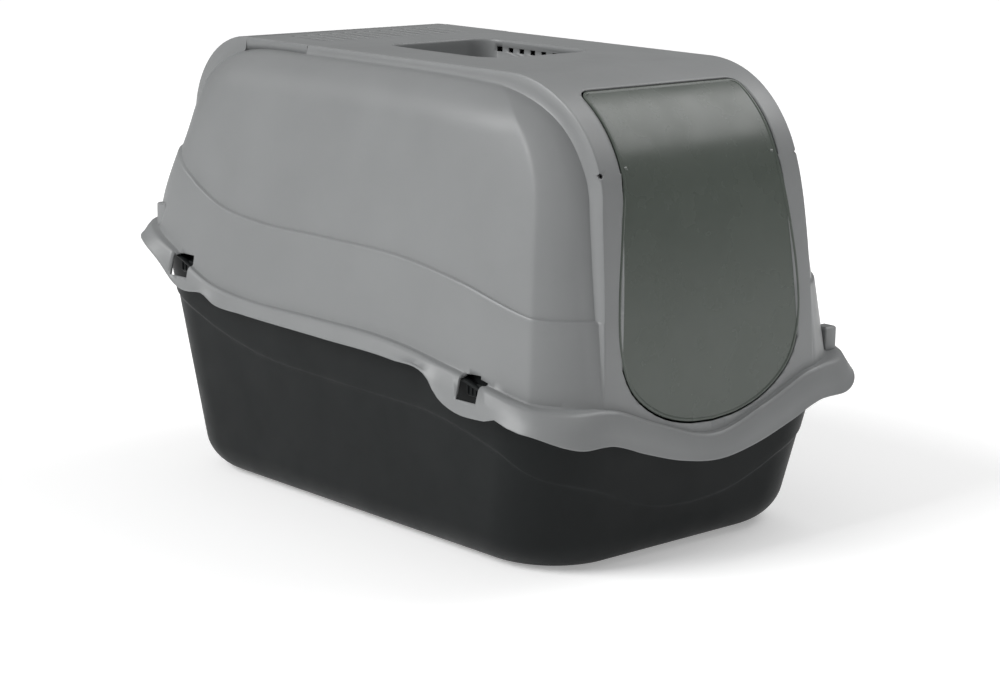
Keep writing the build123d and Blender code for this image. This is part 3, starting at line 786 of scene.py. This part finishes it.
# ---------------------------------------------------------------- materials
def plastic(name, colour, rough, grain, grain_depth, mottle=0.06, specular=0.5):
    """Moulded plastic: fine grain in the surface, faint flow marks in colour and gloss."""
    mat = bpy.data.materials.new(name)
    mat.use_nodes = True
    nt = mat.node_tree
    bsdf = nt.nodes["Principled BSDF"]
    where = nt.nodes.new("ShaderNodeTexCoord").outputs["Object"]

    def noise(scale, detail, roughness=0.55):
        n = nt.nodes.new("ShaderNodeTexNoise")
        n.inputs["Scale"].default_value = scale
        n.inputs["Detail"].default_value = detail
        n.inputs["Roughness"].default_value = roughness
        nt.links.new(where, n.inputs["Vector"])
        return n.outputs["Fac"]

    def ramp(value, low, high):
        m = nt.nodes.new("ShaderNodeMapRange")
        m.inputs["From Min"].default_value = 0.3
        m.inputs["From Max"].default_value = 0.7
        m.inputs["To Min"].default_value = low
        m.inputs["To Max"].default_value = high
        nt.links.new(value, m.inputs["Value"])
        return m.outputs["Result"]

    flow = noise(9.0, 3.0)
    grain_noise = noise(grain, 2.0, 0.6)
    mix = nt.nodes.new("ShaderNodeMix")
    mix.data_type = "RGBA"
    mix.blend_type = "MIX"
    dark = [c * (1 - mottle) for c in colour]
    light = [min(c * (1 + mottle), 1.0) for c in colour]
    mix.inputs["A"].default_value = (*dark, 1)
    mix.inputs["B"].default_value = (*light, 1)
    blend = nt.nodes.new("ShaderNodeMath")
    blend.operation = "MULTIPLY_ADD"
    blend.inputs[1].default_value = 0.3
    nt.links.new(ramp(grain_noise, 0, 1), blend.inputs[0])
    nt.links.new(ramp(flow, 0, 0.7), blend.inputs[2])
    nt.links.new(blend.outputs[0], mix.inputs["Factor"])
    nt.links.new(mix.outputs["Result"], bsdf.inputs["Base Color"])
    nt.links.new(ramp(noise(26.0, 4.0), rough - 0.05, rough + 0.06), bsdf.inputs["Roughness"])
    bump = nt.nodes.new("ShaderNodeBump")
    bump.inputs["Strength"].default_value = 1.0
    bump.inputs["Distance"].default_value = grain_depth
    nt.links.new(grain_noise, bump.inputs["Height"])
    nt.links.new(bump.outputs["Normal"], bsdf.inputs["Normal"])
    bsdf.inputs["Specular IOR Level"].default_value = specular
    return mat


def felt(name, colour):
    """Soft matt fibre."""
    mat = plastic(name, colour, 0.92, 900.0, 0.0004, 0.25, specular=0.2)
    mat.node_tree.nodes["Principled BSDF"].inputs["Sheen Weight"].default_value = 0.3
    return mat


grey = plastic("hood_plastic_grained", (0.212, 0.218, 0.220), 0.42, 1500.0, 0.00006, 0.05)
charcoal = plastic("tray_plastic_grained", (0.0125, 0.014, 0.0143), 0.46, 1100.0, 0.00009, 0.14,
                   specular=0.09)
smoke = plastic("door_plastic_gloss", (0.078, 0.091, 0.079), 0.27, 420.0, 0.000012, 0.05, specular=0.36)
dark_pin = plastic("pin_plastic_satin", (0.05, 0.05, 0.052), 0.35, 1600.0, 0.00004, 0.1)
carbon = felt("filter_carbon_felt", (0.025, 0.025, 0.027))

hood = make_hood()
cover = make_cover()
door = make_door()
tray, hooks = make_tray()
pins = [make_pin("hinge_pin_left", -1), make_pin("hinge_pin_right", 1)]
pad = make_pad()
for obj, mat in ((hood, grey), (cover, grey), (door, smoke), (tray, charcoal), (hooks, charcoal),
                 (pins[0], dark_pin), (pins[1], dark_pin), (pad, carbon)):
    obj.data.materials.append(mat)

# ---------------------------------------------------------------- floor, light, camera
FLOOR_HALF = 9000.0
bm = bmesh.new()
ring = [bm.verts.new((x * FLOOR_HALF, y * FLOOR_HALF, -0.05))
        for x, y in ((-1, -1), (1, -1), (1, 1), (-1, 1))]
bm.faces.new(ring)
mesh = bpy.data.meshes.new("floor")
for v in bm.verts:
    v.co *= MM
bm.to_mesh(mesh)
bm.free()
floor = bpy.data.objects.new("floor", mesh)
bpy.context.scene.collection.objects.link(floor)
pale = bpy.data.materials.new("pale_floor")
pale.use_nodes = True
pale_shader = pale.node_tree.nodes["Principled BSDF"]
for key, value in (("Base Color", (0.9, 0.9, 0.9, 1)), ("Roughness", 0.8), ("Emission Color", (1, 1, 1, 1)),
                   ("Emission Strength", 0.30)):
    pale_shader.inputs[key].default_value = value
floor.data.materials.append(pale)

world = bpy.data.worlds.new("studio")
bpy.context.scene.world = world
world.use_nodes = True
wt = world.node_tree
sky = wt.nodes["Background"]
out = wt.nodes["World Output"]
place = wt.nodes.new("ShaderNodeTexCoord")
split = wt.nodes.new("ShaderNodeSeparateXYZ")
wt.links.new(place.outputs["Generated"], split.inputs[0])
up = wt.nodes.new("ShaderNodeMapRange")
up.interpolation_type = "SMOOTHSTEP"
for key, value in (("From Min", 0.0), ("From Max", 0.6), ("To Min", 0.08), ("To Max", 0.40)):
    up.inputs[key].default_value = value
wt.links.new(split.outputs["Z"], up.inputs["Value"])
wt.links.new(up.outputs["Result"], sky.inputs["Strength"])
sky.inputs["Color"].default_value = (1, 1, 1, 1)
white = wt.nodes.new("ShaderNodeBackground")
white.inputs["Strength"].default_value = 1.0
either = wt.nodes.new("ShaderNodeMixShader")
path = wt.nodes.new("ShaderNodeLightPath")
wt.links.new(path.outputs["Is Camera Ray"], either.inputs[0])
wt.links.new(sky.outputs[0], either.inputs[1])
wt.links.new(white.outputs[0], either.inputs[2])
wt.links.new(either.outputs[0], out.inputs["Surface"])


def soft_light(name, place, aim, size, power):
    """A rectangular light that points at a place."""
    data = bpy.data.lights.new(name, "AREA")
    data.shape = "RECTANGLE"
    data.size, data.size_y = size
    data.energy = power
    obj = bpy.data.objects.new(name, data)
    obj.location = place
    obj.rotation_euler = (Vector(aim) - Vector(place)).to_track_quat("-Z", "Y").to_euler()
    bpy.context.scene.collection.objects.link(obj)


sun = bpy.data.lights.new("key", "SUN")
sun.energy = 2.45
sun.angle = math.radians(34)
sun_obj = bpy.data.objects.new("key", sun)
sun_obj.rotation_euler = Vector((2.4, -0.9, -1.9)).to_track_quat("-Z", "Y").to_euler()
bpy.context.scene.collection.objects.link(sun_obj)
soft_light("sheen", (1.7, -0.7, 2.3), (0, 0, 0.3), (1.7, 1.7), 30)
bpy.context.scene.view_settings.view_transform = "Standard"

# Camera: turn and height seen from the part's middle, and how far the picture's centre is from it.
TURN, RISE, ROLL = math.radians(-42.4), math.radians(12.52), math.radians(0.9)
LENS, AWAY = 2451.0, 2.283        # focal length for a picture 1000 wide, and distance
SHIFT_X, SHIFT_Z = 0.0118, -0.0606
back = Vector((math.sin(TURN) * math.cos(RISE), -math.cos(TURN) * math.cos(RISE), math.sin(RISE)))
flat_right = Vector((math.cos(TURN), math.sin(TURN), 0))
flat_up = back.cross(flat_right)
right = flat_right * math.cos(ROLL) + flat_up * math.sin(ROLL)
upward = flat_up * math.cos(ROLL) - flat_right * math.sin(ROLL)
cam_data = bpy.data.cameras.new("camera")
cam_data.sensor_width = 36.0
cam_data.lens = LENS / 1000 * 36.0
cam_data.clip_end = 60
cam = bpy.data.objects.new("camera", cam_data)
bpy.context.scene.collection.objects.link(cam)
cam.matrix_world = Matrix((right, upward, back)).transposed().to_4x4()
cam.location = Vector((0, 0, 0.2)) + back * AWAY + right * SHIFT_X + upward * SHIFT_Z
bpy.context.scene.camera = cam
